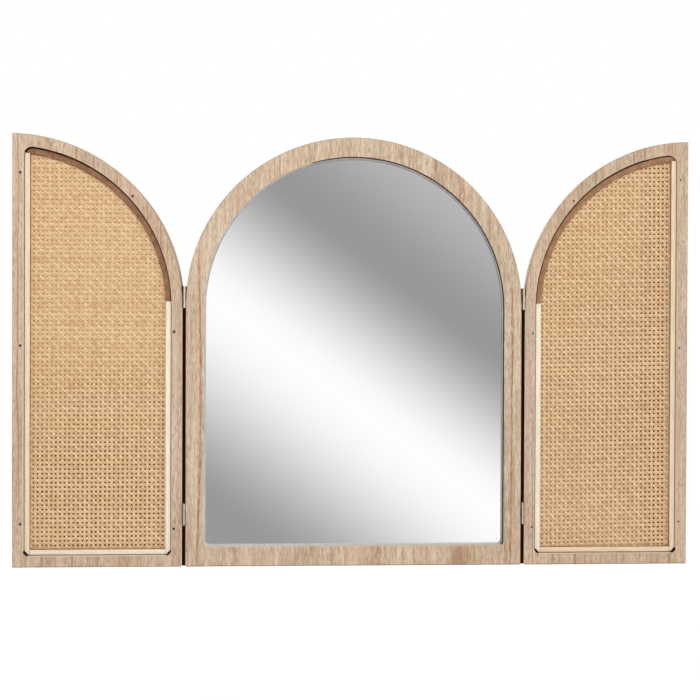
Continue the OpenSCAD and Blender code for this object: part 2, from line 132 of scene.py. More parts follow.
class Nodes:
    """Builds a node tree with short calls: a value is a number, a colour or another node's output."""

    def __init__(self, tree):
        self.tree = tree
        self.tree.nodes.clear()

    def add(self, kind, inputs=(), **settings):
        node = self.tree.nodes.new("ShaderNode" + kind)
        for name, value in settings.items():
            setattr(node, name, value)
        for socket, value in dict(inputs).items():
            self.feed(node.inputs[socket], value)
        return node

    def feed(self, socket, value):
        if isinstance(value, bpy.types.NodeSocket):
            self.tree.links.new(value, socket)
        else:
            socket.default_value = value

    def math(self, operation, a, b=0.0, clamp=False):
        return self.add("Math", {0: a, 1: b}, operation=operation, use_clamp=clamp).outputs[0]

    def compare(self, operation, a, b):
        """A number from two vectors: their DISTANCE or DOT_PRODUCT."""
        return self.add("VectorMath", {0: a, 1: b}, operation=operation).outputs["Value"]

    def split(self, vector):
        """The X, Y and Z of a vector."""
        return self.add("SeparateXYZ", {0: vector}).outputs

    def mix(self, share, a, b):
        node = self.add("Mix", data_type="RGBA")
        for socket, value in ((0, share), (6, a), (7, b)):
            self.feed(node.inputs[socket], value)
        return node.outputs[2]

    def span(self, value, low, high, to_low=0.0, to_high=1.0, smooth=True):
        """The value's place between low and high, given between to_low and to_high and held at both."""
        kind = "SMOOTHSTEP" if smooth else "LINEAR"
        inputs = {"Value": value, "From Min": low, "From Max": high, "To Min": to_low, "To Max": to_high}
        return self.add("MapRange", inputs, interpolation_type=kind).outputs[0]

    def noise(self, place, size, detail=2.0, rough=0.5, shift=(0, 0, 0)):
        """Noise whose blots have a width, a depth and a height in metres."""
        scale = tuple(1 / s for s in size)
        vector = self.add("Mapping", {"Vector": place, "Location": shift, "Scale": scale}).outputs[0]
        inputs = {"Vector": vector, "Scale": 1.0, "Detail": detail, "Roughness": rough}
        return self.add("TexNoise", inputs).outputs["Fac"]

    def bump(self, height, distance, strength=0.5):
        return self.add("Bump", {"Height": height, "Distance": distance, "Strength": strength}).outputs[0]

    def surface(self, inputs):
        self.output(self.add("BsdfPrincipled", inputs))

    def output(self, shader):
        self.tree.links.new(shader.outputs[0], self.add("OutputMaterial").inputs[0])


def new_material(name):
    material = bpy.data.materials.new(name)
    material.use_nodes = True
    return material, Nodes(material.node_tree)


def own_place(n):
    """The place in the piece's own frame, which is the row frame at rest."""
    return n.add("TexCoord").outputs["Object"]


def own_normal(n):
    """The way that the surface faces in the piece's own frame."""
    return n.add("TexCoord").outputs["Normal"]


def stain_and_shade_spots(n, colour, place, spots, darkening):
    """The colour with small round dark spots on it, which are stains on some pieces and painted shade on
    others. A spot is its place and its radius.
    """
    for at, size in spots:
        away = n.compare("DISTANCE", place, tuple(at))
        colour = n.mix(n.span(away, size * 0.5, size, 0.9, 0), colour, darkening)
    return colour


# The shade in a hinge gap, and how near the next board has to be for it
GAP_SHADE = (33, 15, 4)
GAP_REACH = 40 * MM

# The pale and the dark tone of the veneer, and the tones of what lies in it
OAK_TONES = ((208, 186, 161), (156, 126, 99))
MIRROR_OAK_TONES = ((209, 189, 165), (155, 128, 102))
ROSY_TONE = (196, 157, 134)
OLIVE_TONE = (184, 167, 130)
PORE_TONE = (128, 98, 72)
LINE_TONE = (136, 104, 76)
VEIN_TONE = (150, 108, 74)
NAIL_TONE = (36, 20, 10)
# The painted shade along the foot of a board
FOOT_SHADE_TONE = (96, 70, 48)

# Dark grain of the mirror frame: x, half the width, the lowest and the highest z, and how strong it is
MIRROR_VEINS = (
    (-95.5 * MM, 1.3 * MM, 0.15, 0.225, 0.7),
    (-89.5 * MM, 1.1 * MM, 0.15, 0.225, 0.7),
    (-29.5 * MM, 1.4 * MM, 0.19, 0.225, 0.7),
    (-15.5 * MM, 0.8 * MM, 0.19, 0.225, 0.7),
    (64.0 * MM, 0.8 * MM, 0.17, 0.225, 0.7),
    (78.0 * MM, 1.0 * MM, 0.16, 0.225, 0.7),
    (95.5 * MM, 2.5 * MM, 0.16, 0.21, 0.6),
    (127.0 * MM, 6.0 * MM, 0.11, 0.2, 0.5),
    (161.0 * MM, 6.0 * MM, 0.05, 0.17, 0.4),
    (-57.0 * MM, 13.0 * MM, -0.3, -0.24, 0.35),
    (23.0 * MM, 15.0 * MM, -0.3, -0.24, 0.35),
    (132.0 * MM, 26.0 * MM, -0.3, -0.24, 0.6),
)
# The long grain line of each stile: x where it is furthest out, half the width, that point's height,
# how fast it bows from there in 1/m, the highest z, and how strong it is
STILE_VEINS = (
    (-182.4 * MM, 1.8 * MM, -0.08, -0.11, 0.09, 0.95),
    (188.8 * MM, 1.8 * MM, 0.0, -0.02, 0.06, 0.95),
)
# The height over which a vein fades out at both ends, and a stile's long line at its top
VEIN_FADE = 12 * MM
STILE_VEIN_FADE = 30 * MM


def swayed(n, place, shift):
    """The place, moved sideways by slow noise, so that the grain isn't straight."""
    sway = n.noise(place, (30 * MM, 30 * MM, 110 * MM), 1.0, 0.5, shift)
    sway = n.math("MULTIPLY", n.math("SUBTRACT", sway, 0.5), 7 * MM)
    aside = n.add("CombineXYZ", {"X": sway}).outputs[0]
    return n.add("VectorMath", {0: place, 1: aside}).outputs[0]


def veined(n, colour, place, streak, fibre):
    """The colour with the mirror frame's dark grain on it."""
    apart = n.split(place)
    height = apart["Z"]
    wobble = n.math("MULTIPLY", n.math("SUBTRACT", streak, 0.5), 2 * MM)
    across = n.math("ADD", apart["X"], wobble)
    broken = n.span(fibre, 0.4, 0.6, 1, 0.5)
    for x, half, low, high, strength in MIRROR_VEINS:
        away = n.math("ABSOLUTE", n.math("SUBTRACT", across, x))
        share = n.math("MULTIPLY", n.span(away, 0.3 * half, half, strength, 0), broken)
        share = n.math("MULTIPLY", share, n.span(height, low, low + VEIN_FADE))
        share = n.math("MULTIPLY", share, n.span(height, high - VEIN_FADE, high, 1, 0))
        colour = n.mix(share, colour, srgb(*VEIN_TONE))
    for x, half, middle, bow, high, strength in STILE_VEINS:
        off = n.math("SUBTRACT", height, middle)
        bent = n.math("MULTIPLY", n.math("MULTIPLY", off, off), bow)
        away = n.math("ABSOLUTE", n.math("SUBTRACT", n.math("SUBTRACT", across, x), bent))
        share = n.math("MULTIPLY", n.span(away, 0.3 * half, half, strength, 0), broken)
        share = n.math("MULTIPLY", share, n.span(height, high - STILE_VEIN_FADE, high, 1, 0))
        colour = n.mix(share, colour, srgb(*VEIN_TONE))
    return colour


def oak(name, shift, nails=(), lines_gap=False, mirror_front=False):
    """Limed oak veneer, whose grain runs upright. shift moves the grain, so that pieces differ.

    lines_gap is for the edge that lines a hinge gap: painted shade makes it nearly black where the next
    board is close.
    mirror_front is for the mirror frame, which has its own tones and dark grain."""
    material, n = new_material(name)
    fixed_place = own_place(n)
    place = swayed(n, fixed_place, shift)
    fibre = n.noise(place, (1.2 * MM, 1.2 * MM, 9 * MM), 2.0, 0.6, shift)
    streak = n.noise(place, (3.4 * MM, 3.4 * MM, 60 * MM), 3.0, 0.55, shift)
    zone = n.noise(place, (24 * MM, 24 * MM, 200 * MM), 2.0, 0.5, shift)
    tint = n.noise(place, (9 * MM, 9 * MM, 150 * MM), 2.0, 0.5, (shift[1], shift[2], shift[0]))
    pore = n.noise(place, (0.9 * MM, 0.9 * MM, 6 * MM), 1.0, 0.5, (shift[2], shift[0], shift[1]))
    line = n.noise(place, (3.2 * MM, 3.2 * MM, 420 * MM), 1.0, 0.4, (shift[2], shift[1], shift[0]))
    depth = n.math("ADD", n.math("MULTIPLY", fibre, 0.9), n.math("MULTIPLY", streak, 0.6))
    depth = n.math("ADD", depth, n.math("MULTIPLY", zone, 0.4))
    pale, dark = MIRROR_OAK_TONES if mirror_front else OAK_TONES
    colour = n.mix(n.span(depth, 0.7, 1.15, smooth=False), srgb(*dark), srgb(*pale))
    colour = n.mix(n.span(tint, 0.52, 0.66, 0, 0.45), colour, srgb(*ROSY_TONE))
    colour = n.mix(n.span(tint, 0.34, 0.46, 0.3, 0), colour, srgb(*OLIVE_TONE))
    colour = n.mix(n.span(pore, 0.6, 0.72, 0, 0.6), colour, srgb(*PORE_TONE))
    colour = n.mix(n.span(line, 0.64, 0.7, 0, 0.25 if mirror_front else 0.6), colour, srgb(*LINE_TONE))
    if mirror_front:
        colour = veined(n, colour, fixed_place, streak, fibre)
    colour = stain_and_shade_spots(n, colour, fixed_place, nails, srgb(*NAIL_TONE))
    # Painted shade along the foot of the board
    foot_shade_share = n.span(n.split(fixed_place)["Z"], FOOT_Z + 0.3 * MM, FOOT_Z + 1.7 * MM, 0.55, 0)
    colour = n.mix(foot_shade_share, colour, srgb(*FOOT_SHADE_TONE))
    if lines_gap:
        # Painted shade in a hinge gap: the edge turns nearly black as the next board closes in
        opening = n.add("AmbientOcclusion", {"Distance": GAP_REACH}, samples=8).outputs["AO"]
        colour = n.mix(n.span(opening, 0.5, 0.95), srgb(*GAP_SHADE), colour)
    relief = n.math("SUBTRACT", n.math("MULTIPLY", fibre, 0.6), n.span(pore, 0.6, 0.75, 0, 0.8))
    n.surface({
        "Base Color": colour,
        "Roughness": n.span(fibre, 0.3, 0.7, 0.62, 0.5, smooth=False),
        "Specular IOR Level": 0.3,
        "Normal": n.bump(relief, 0.12 * MM),
    })
    return material


# The values of a noise between which a mottled wood turns from its dark to its pale tone
MOTTLE = (0.36, 0.64)


def plain_wood(name, pale, dark, size, roughness, relief):
    """Finely mottled wood. size is that of the coarse mottling, and it and the relief are in mm."""
    material, n = new_material(name)
    place = own_place(n)
    coarse = n.noise(place, [value * MM for value in size], 3.0, 0.6)
    fine = n.noise(place, (0.5 * MM, 0.5 * MM, 1.6 * MM), 2.0, 0.6)
    mixed = n.math("ADD", n.math("MULTIPLY", coarse, 0.6), n.math("MULTIPLY", fine, 0.4))
    n.surface({
        "Base Color": n.mix(n.span(mixed, *MOTTLE), srgb(*dark), srgb(*pale)),
        "Roughness": n.span(fine, 0.3, 0.7, roughness, roughness + 0.12, smooth=False),
        "Specular IOR Level": 0.3,
        "Normal": n.bump(mixed, relief * MM),
    })
    return material


# Each plain wood: the pale and the dark tone, the size of the mottling, the roughness and the relief
WOODS = {
    "board_core": ((190, 160, 122), (160, 128, 92), (3, 3, 3), 0.75, 0.1),
    "dark_arris": ((172, 144, 116), (142, 114, 88), (1.5, 1.5, 9), 0.6, 0.05),
    # A paler edge, which on the mirror frame is painted light where the opening faces the light
    "pale_arris": ((214, 194, 170), (194, 172, 148), (1.5, 1.5, 9), 0.6, 0.05),
    # The chamfer along the foot, darker as painted shade
    "painted_foot_shade": ((112, 88, 66), (82, 60, 42), (9, 1.5, 1.5), 0.6, 0.05),
    "left_hole_rim": ((48, 32, 22), (30, 18, 12), (1, 1, 1), 0.8, 0.05),
    "right_hole_rim": ((92, 68, 50), (66, 46, 32), (1, 1, 1), 0.8, 0.05),
    # The walls of a shutter's window: the first paler than the wood as painted light, the second darker as
    # painted shade
    "pale_edge": ((246, 232, 212), (226, 208, 184), (2, 2, 9), 0.6, 0.05),
    "dark_edge": ((70, 46, 30), (44, 28, 16), (3, 3, 9), 0.7, 0.05),
    # Painted shade on the front beside the edges of the mirror's opening that face left or down
    "front_shade": ((58, 42, 30), (36, 24, 16), (2, 2, 9), 0.7, 0.05),
    # The side of a bead towards the cane, darker as painted shade
    "bead_flank": ((172, 136, 100), (140, 104, 72), (2, 2, 9), 0.7, 0.05),
    "left_brown_fibreboard": ((148, 108, 79), (118, 80, 55), (6, 6, 6), 0.8, 0.1),
    "right_brown_fibreboard": ((164, 124, 90), (134, 96, 67), (6, 6, 6), 0.8, 0.1),
    "hardboard": ((150, 112, 78), (124, 90, 60), (4, 4, 4), 0.7, 0.1),
}

# The painted shade at the edge of the mirror's opening: its width on the front, how far above the glass's
# foot it starts, and how deep into the opening it fades out, as shares of the way to the glass
EDGE_SHADE_W = 0.5 * MM
EDGE_SHADE_RISE = 6.8 * MM
EDGE_SHADE_FADE = (0.3, 0.46)
# The edge takes the painted shade where it faces this way: to the left, and a little down
EDGE_SHADE_FACING = (-0.95, 0, -0.3)


def shaded_opening_edge():
    """The edge of the mirror's opening: painted shade, dark at the front where it faces left or down."""
    material, n = new_material("shaded_opening_edge")
    place = own_place(n)
    mottle = n.noise(place, (3 * MM, 3 * MM, 12 * MM), 3.0, 0.6)
    dark = n.mix(n.span(mottle, *MOTTLE), srgb(34, 22, 14), srgb(54, 38, 26))
    pale = n.mix(n.span(mottle, *MOTTLE), srgb(174, 172, 168), srgb(194, 192, 188))
    wall = glass_low.y - FRONT_Y
    fade_from, fade_to = (FRONT_Y + share * wall for share in EDGE_SHADE_FADE)
    darkening = n.span(n.split(place)["Y"], fade_from, fade_to, 1, 0)
    facing = n.compare("DOT_PRODUCT", own_normal(n), EDGE_SHADE_FACING)
    n.surface({
        "Base Color": n.mix(n.math("MULTIPLY", darkening, n.span(facing, -0.5, 0.3)), pale, dark),
        "Roughness": 0.65,
        "Specular IOR Level": 0.3,
        "Normal": n.bump(mottle, 0.05 * MM),
    })
    return material


# The painted shade on the walls along a shutter's arch ends this far from its meeting edge, and on the
# ledge it fades there
DARK_WALL_END = {"left": 13.5 * MM, "right": 48 * MM}
# The slots beside the beads take painted shade, darkest in the lower corners: this far inside the
# shutter's sides and above its foot, and with this radius
CORNER_X = 13 * MM
CORNER_Z = 15 * MM
CORNER_SHADE = 9 * MM


def slot_corners(side):
    """The lower corners of the shutter's window, with the radius of the painted shade in each."""
    across = (HINGE_X + CORNER_X, EDGE_X - CORNER_X)
    return [((SIGN[side] * u, LAYER_Y, FOOT_Z + CORNER_Z), CORNER_SHADE) for u in across]


def bare_ledge(side):
    """The bare board at the bottom of the slots beside the beads, with painted shade along the arch and in
    the lower corners.
    """
    material, n = new_material(f"{side}_bare_ledge")
    place = own_place(n)
    mottle = n.noise(place, (3 * MM, 3 * MM, 3 * MM), 3.0, 0.6)
    patch = n.noise(place, (60 * MM, 60 * MM, 60 * MM), 1.0, 0.5)
    colour = n.mix(n.span(mottle, *MOTTLE), srgb(176, 142, 108), srgb(226, 196, 160))
    colour = n.mix(n.span(patch, 0.45, 0.6, 0, 0.7), colour, srgb(110, 78, 52))
    # Painted shade along the arch, fading towards the meeting edge, and in the lower corners
    apart = n.split(place)
    end = EDGE_X - DARK_WALL_END[side]
    fade = n.span(n.math("ABSOLUTE", apart["X"]), end - 12 * MM, end + 12 * MM, 1, 0.5)
    share = n.math("MULTIPLY", n.span(apart["Z"], SPRING_Z, SPRING_Z + 30 * MM), fade)
    colour = n.mix(share, colour, srgb(44, 26, 14))
    colour = stain_and_shade_spots(n, colour, place, slot_corners(side), srgb(30, 15, 6))
    n.surface({"Base Color": colour, "Roughness": 0.85, "Normal": n.bump(mottle, 0.1 * MM)})
    return material


def cane_skin(name, thin, dark, pale, spots):
    """Peeled cane. thin is the size of its fibres, which run along the strands."""
    material, n = new_material(name)
    place = own_place(n)
    tone = n.add("Attribute", attribute_name="tone").outputs["Fac"]
    rim = n.add("Attribute", attribute_name="rim").outputs["Fac"]
    slope = n.add("Attribute", attribute_name="slope").outputs["Fac"]
    fibre = n.noise(place, thin, 2.0, 0.6)
    patch = n.noise(place, (5 * MM, 5 * MM, 5 * MM), 3.0, 0.6)
    share = n.math("ADD", n.math("MULTIPLY", tone, 0.25), n.math("MULTIPLY", patch, 0.75))
    colour = n.mix(n.span(share, 0.25, 0.75), srgb(*dark), srgb(*pale))
    colour = n.mix(n.span(fibre, 0.5, 0.72, 0, 0.3), colour, srgb(178, 136, 90))
    colour = n.mix(n.span(rim, 0.6, 1.0, 0, 0.5), colour, srgb(152, 98, 40))
    # Painted highlight: paler on the strand segments that slope one way, as if they caught the light
    lit = n.math("MULTIPLY", n.span(slope, 0.2, 0.95, 0, 0.5), n.span(patch, 0.3, 0.6))
    colour = n.mix(lit, colour, srgb(237, 206, 167))
    colour = stain_and_shade_spots(n, colour, place, spots, srgb(62, 38, 20))
    n.surface({
        "Base Color": colour,
        "Roughness": n.span(fibre, 0.3, 0.7, 0.38, 0.52, smooth=False),
        "Specular IOR Level": 0.5,
        "Normal": n.bump(fibre, 0.08 * MM),
    })
    return material


def metal_noise(n, place):
    """Blots of tarnish, and fine upright scratches."""
    tarnish = n.noise(place, (3 * MM, 3 * MM, 5 * MM), 3.0, 0.6)
    scratch = n.noise(place, (0.25 * MM, 0.25 * MM, 6 * MM), 2.0, 0.5)
    return tarnish, scratch


def metal(name, pale, dark, roughness):
    """A metal with slight tarnish and fine scratches."""
    material, n = new_material(name)
    tarnish, scratch = metal_noise(n, own_place(n))
    n.surface({
        "Base Color": n.mix(n.span(tarnish, 0.4, 0.66), srgb(*pale), srgb(*dark)),
        "Metallic": 1.0,
        "Roughness": n.span(scratch, 0.3, 0.7, roughness, roughness + 0.12, smooth=False),
        "Normal": n.bump(scratch, 0.02 * MM, 0.4),
    })
    return material


# The leaves of a hinge lie behind this place, and its knuckles in front of it
LEAF_Y = FRONT_Y + 1.2 * MM
LEAF_TONE = (206, 178, 128)
# The painted shade beside a knuckle's painted highlight
KNUCKLE_SHADE_TONE = (14, 8, 4)


def brass_with_painted_highlight(name, pale, highlight_way, reach):
    """Brass whose knuckles carry a painted highlight on one side, and painted shade nearly black beside
    that.

    Its third argument is the way that the painted highlight faces, and reach the cosine of the angle from
    it at which all is dark."""
    material, n = new_material(name)
    place = own_place(n)
    tarnish, scratch = metal_noise(n, place)
    normal = own_normal(n)
    facing = n.math("ADD", n.compare("DOT_PRODUCT", normal, highlight_way), n.math("MULTIPLY", tarnish, 0.06))
    knuckle = n.span(n.split(place)["Y"], LEAF_Y, LEAF_Y + 0.4 * MM, 1, 0)
    turned_forward = n.span(n.split(normal)["Y"], 0.1, 0.4, 1, 0)
    share = n.math("MULTIPLY", n.span(facing, reach, 0.98, 1, 0), knuckle)
    share = n.math("MULTIPLY", share, turned_forward)
    unshaded = n.mix(knuckle, srgb(*LEAF_TONE), srgb(*pale))
    n.surface({
        "Base Color": n.mix(share, unshaded, srgb(*KNUCKLE_SHADE_TONE)),
        "Metallic": n.math("SUBTRACT", 1.0, share),
        "Specular IOR Level": 0.1,
        "Roughness": n.span(scratch, 0.3, 0.7, 0.35, 0.47, smooth=False),
        "Normal": n.bump(scratch, 0.02 * MM, 0.4),
    })
    return material


def mirror_glass():
    """Silvered glass with a green cut edge."""
    material, n = new_material("silvered_glass")
    haze = n.noise(own_place(n), (60 * MM, 60 * MM, 90 * MM), 3.0, 0.6)
    facing = n.split(own_normal(n))["Y"]
    front = n.span(n.math("ABSOLUTE", facing), 0.6, 0.9)
    n.surface({
        "Base Color": n.mix(front, srgb(120, 160, 145), srgb(251, 251, 251)),
        "Metallic": 1.0,
        "Roughness": n.span(haze, 0.3, 0.7, 0.0, 0.012, smooth=False),
    })
    return material


# Meshes


def assign(obj, *materials):
    """Gives the object these materials. A new mesh keeps the material numbers of its faces."""
    if obj.data.materials:
        obj.data.materials.clear()
    for material in materials:
        obj.data.materials.append(material)


def add_mesh(name, vertices, faces):
    mesh = bpy.data.meshes.new(name)
    mesh.from_pydata(vertices, [], faces)
    obj = bpy.data.objects.new(name, mesh)
    bpy.context.scene.collection.objects.link(obj)
    return obj


def body_of(node):
    return frame["nodes"][node]["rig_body"]


# The numbers of a board's materials, in the order of its slots
VENEER, ARRIS, INNER_EDGE, BARE, GAP_EDGE, FOOT, PALE, DARK, HOLE_RIM = range(9)
# The easing of the beads' edges, the width of the boards' chamfer, and the angle that makes an edge sharp
SHARP_ANGLE = 0.6
BEAD_EASE = 0.35 * MM
ARCH_BEAD_EASE = 0.5 * MM
ARRIS_W = 0.6 * MM


def loose_copy(node):
    """The node's mesh without doubled points and needless edges, to work on."""
    shape = bmesh.new()
    shape.from_mesh(frame["nodes"][node].data)
    bmesh.ops.remove_doubles(shape, verts=shape.verts, dist=0.001 * MM)
    bmesh.ops.dissolve_limit(shape, angle_limit=0.002, verts=shape.verts, edges=shape.edges)
    return shape


def stand_in(shape, node, name):
    """A new piece from a worked copy, which stands for the node and rides with its body."""
    for face in shape.faces:
        face.smooth = True
    mesh = bpy.data.meshes.new(name)
    shape.to_mesh(mesh)
    shape.free()
    mesh.set_sharp_from_angle(angle=math.radians(30))
    obj = bpy.data.objects.new(name, mesh)
    bpy.context.scene.collection.objects.link(obj)
    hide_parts(node)
    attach(obj, body_of(node))
    return obj


def eased(node, name, ease):
    """A copy of a node with all its sharp edges rounded."""
    shape = loose_copy(node)
    sharp = [e for e in shape.edges if len(e.link_faces) == 2 and e.calc_face_angle() > SHARP_ANGLE]
    bmesh.ops.bevel(
        shape, geom=sharp, offset=ease, segments=2, profile=0.5, affect="EDGES", clamp_overlap=True,
    )
    return stand_in(shape, node, name)


def inset(shape, flat, width):
    """The faces of a new ring of a given width, just inside the outline of the flat faces."""
    ring = bmesh.ops.inset_region(
        shape, faces=flat, thickness=width, use_even_offset=True, use_boundary=True,
    )
    return ring["faces"]


def eased_rim(node, name, y, band=0):
    """A copy of a board whose face at y has a small chamfer all round. Its faces have the number ARRIS.

    band is the width of a ring on the face beside the chamfer, whose faces have the number DARK."""
    shape = loose_copy(node)
    flat = [f for f in shape.faces if all(abs(v.co.y - y) < 0.01 * MM for v in f.verts)]
    inward = -flat[0].normal * ARRIS_W
    ring = inset(shape, flat, ARRIS_W)
    for face in ring:
        face.material_index = ARRIS
    ring_points = {point for face in ring for point in face.verts}
    flat_points = {point for face in flat for point in face.verts}
    for point in ring_points - flat_points:
        point.co += inward
    if band:
        for face in inset(shape, flat, band):
            face.material_index = DARK
    return stand_in(shape, node, name)


# The cane: its rows and columns of holes lie as in the photograph, in the row frame.
# They are given by one hole's place, the pitch, and the slope about the panel's middle.
COLUMNS = {"left": (-305.98 * MM, 5.237 * MM, 0.0021), "right": (306.0 * MM, 5.264 * MM, -0.0042)}
ROWS = {"left": (-122.31 * MM, 5.307 * MM, 0.0011), "right": (-120.83 * MM, 5.307 * MM, 0.0223)}
CANE_MIDDLE_X = 304 * MM
CANE_MIDDLE_Z = -122 * MM
WARP_W = 3.3 * MM
# The width of a weft below the lower height, and above the higher one, where it has been beaten flatter
WEFT_W = {"left": (3.4 * MM, 4.2 * MM), "right": (3.4 * MM, 3.6 * MM)}
WEFT_W_Z = (-0.12, 0.1)
STRAND_T = 0.6 * MM
STRAND_SWING = 0.35 * MM
# A strand ends this far from the shutter's outline
STRAND_END = 17.3 * MM
STEPS_PER_PITCH = 4
# A strand wanders sideways in two waves: how far at most, in mm, and their rates, in 1/m.
# WANDER_PHASE turns a drawn length into the place where a wave starts.
WANDER = 0.09
WANDER_RATES = (40, 95)
WANDER_PHASE = 9e4
# The points of a strand's section, as shares of its width and its thickness
SECTION = ((-0.5, 0), (-0.33, 0.5), (0.33, 0.5), (0.5, 0), (0.33, -0.5), (-0.33, -0.5))


def warp_range(side):
    """The lowest and the highest x that a warp may have."""
    near, far = HINGE_X + STRAND_END, EDGE_X - STRAND_END
    return (near, far) if side == "right" else (-far, -near)


def cane_span(side, kind, place):
    """Both ends of a strand: up for a warp at x, sideways for a weft at z. None where it has no length."""
    reach = ARCH_R - STRAND_END
    near = HINGE_X + STRAND_END
    far = EDGE_X - STRAND_END
    if kind == "warp":
        u = SIGN[side] * place
        if not near <= u <= far:
            return None
        return FOOT_Z + STRAND_END, SPRING_Z + math.sqrt(max(0, reach ** 2 - (SHUTTER_ARCH_X - u) ** 2))
    if place <= FOOT_Z + STRAND_END:
        return None
    if place > SPRING_Z:
        rise = place - SPRING_Z
        if rise >= reach:
            return None
        near = max(near, SHUTTER_ARCH_X - math.sqrt(reach ** 2 - rise ** 2))
    if near >= far:
        return None
    return (near, far) if side == "right" else (-far, -near)


def strand_width(side, kind, place):
    """The usual width of a warp, or of a weft at the height place."""
    if kind == "warp":
        return WARP_W
    narrow, wide = WEFT_W[side]
    low, high = WEFT_W_Z
    return narrow + min(1, max(0, (place - low) / (high - low))) * (wide - narrow)


def tube_faces(first, rings, size):
    """The faces of a closed tube whose rings of points start at the point numbered first."""
    faces = []
    for k in range(rings - 1):
        for j in range(size):
            a = first + k * size + j
            b = first + k * size + (j + 1) % size
            faces.append((a, b, b + size, a + size))
    faces.append(tuple(first + j for j in reversed(range(size))))
    faces.append(tuple(first + (rings - 1) * size + j for j in range(size)))
    return faces


def cane_strands(side, kind, seed):
    """All strands of one direction as one mesh, with three values for each point."""
    rng = random.Random(seed)
    columns = (*COLUMNS[side], SIGN[side] * CANE_MIDDLE_X)
    rows = (*ROWS[side], CANE_MIDDLE_Z)
    if kind == "warp":
        own, other, lift = columns, rows, 1
        low, high = warp_range(side)
    else:
        own, other, lift = rows, columns, -1
        low, high = FOOT_Z, SPRING_Z + ARCH_R
    start, pitch, slope, own_middle = own
    cross_start, cross_pitch, cross_slope, middle = other
    centre_y = (cane_low.y + cane_high.y) / 2
    vertices, faces = [], []
    values = {"tone": [], "rim": [], "slope": []}
    for i in range(math.floor((low - start) / pitch) - 2, math.ceil((high - start) / pitch) + 2):
        tone = rng.uniform(0, 1)
        base = start + (i + 0.5) * pitch
        width = strand_width(side, kind, base) * rng.uniform(0.96, 1.04)
        wander = [rng.uniform(-WANDER, WANDER) * MM for _ in range(4)]
        swing = STRAND_SWING * rng.uniform(0.85, 1.1)

        def aside(along, share):
            """The strand's place across, at a place along it and a share of its width from its middle."""
            bend = wander[0] * math.sin(along * WANDER_RATES[0] + wander[1] * WANDER_PHASE)
            bend += wander[2] * math.sin(along * WANDER_RATES[1] + wander[3] * WANDER_PHASE)
            return base + slope * (along - middle) + bend + share * width

        ends = [cane_span(side, kind, aside(middle, share)) for share, _ in SECTION]
        if None in ends:
            continue
        first, last = min(e[0] for e in ends), max(e[1] for e in ends)
        if last - first < 2 * pitch:
            continue
        step = cross_pitch / STEPS_PER_PITCH
        steps = max(2, math.ceil((last - first) / step))
        faces.extend(tube_faces(len(vertices), steps + 1, len(SECTION)))
        for k in range(steps + 1):
            along = first + (last - first) * k / steps
            crossing = (along - cross_slope * (base - own_middle) - cross_start) / cross_pitch - 0.5
            turn = math.pi * crossing + math.pi * i
            for (share, bulge), (strand_first, strand_last) in zip(SECTION, ends):
                held = min(max(along, strand_first), strand_last)
                across = aside(held, share)
                y = centre_y - lift * swing * math.cos(turn) - bulge * STRAND_T
                vertices.append((across, y, held) if kind == "warp" else (held, y, across))
                values["tone"].append(tone)
                values["rim"].append(2 * abs(share))
                values["slope"].append(math.sin(turn))
    return vertices, faces, values


def weave(side, kind, material, seed):
    """The woven strands of one direction, which stand for the cane panel and ride with its body."""
    vertices, faces, values = cane_strands(side, kind, seed)
    obj = add_mesh(f"{side}_cane_{kind}", vertices, faces)
    for label, numbers in values.items():
        obj.data.attributes.new(label, "FLOAT", "POINT").data.foreach_set("value", numbers)
    shape = bmesh.new()
    shape.from_mesh(obj.data)
    bmesh.ops.remove_doubles(shape, verts=shape.verts, dist=0.002 * MM)
    bmesh.ops.dissolve_degenerate(shape, edges=shape.edges, dist=0.001 * MM)
    bmesh.ops.recalc_face_normals(shape, faces=shape.faces)
    for face in shape.faces:
        face.smooth = True
    shape.to_mesh(obj.data)
    shape.free()
    obj.data.set_sharp_from_angle(angle=math.radians(60))
    assign(obj, material)
    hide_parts(f"{side}_cane_panel")
    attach(obj, body_of(f"{side}_cane_panel"))


# Stage

# The lights give a plane that faces the front about 1 in all, so that a colour renders about as it is
# written: 0.38 from the world, 0.29 from the near lamp, 0.26 from the key and 0.07 from the side
WORLD_LIGHT = 0.38
FLOOR_Z = -1.6
FLOOR_HALF = 8
# What the camera sees of the floor beyond the light that falls on it
FLOOR_GLOW = 0.12


def stage_plane(name, corners):
    obj = add_mesh(name, corners, [tuple(range(len(corners)))])
    return obj


def only_seen_by(obj, camera=False, glossy=False, transmission=False):
    """Hides a piece of the stage from all rays but these, so that it doesn't light or shade the part."""
    obj.visible_camera = camera
    obj.visible_glossy = glossy
    obj.visible_transmission = transmission
    obj.visible_diffuse = False
    obj.visible_shadow = False


def make_world():
    world = bpy.data.worlds.new("studio")
    bpy.context.scene.world = world
    world.use_nodes = True
    n = Nodes(world.node_tree)
    path = n.add("LightPath").outputs
    seen = n.math("ADD", path["Is Camera Ray"], path["Is Glossy Ray"])
    seen = n.math("ADD", seen, path["Is Transmission Ray"], clamp=True)
    strength = n.span(seen, 0, 1, WORLD_LIGHT, 1.0, smooth=False)
    back = n.add("Background", {"Color": (1, 1, 1, 1), "Strength": strength})
    out = n.add("OutputWorld")
    n.tree.links.new(back.outputs[0], out.inputs[0])


def sun(name, azimuth, elevation, strength, angle):
    """A soft lamp that shines on the origin. Azimuth 0 is the front, and +90 the right-hand side."""
    data = bpy.data.lights.new(name, "SUN")
    data.energy = strength
    data.angle = math.radians(angle)
    lamp = bpy.data.objects.new(name, data)
    bpy.context.scene.collection.objects.link(lamp)
    a, e = math.radians(azimuth), math.radians(elevation)
    towards = Vector((math.sin(a) * math.cos(e), -math.cos(a) * math.cos(e), math.sin(e)))
    lamp.rotation_mode = "QUATERNION"
    lamp.rotation_quaternion = towards.to_track_quat("Z", "Y")


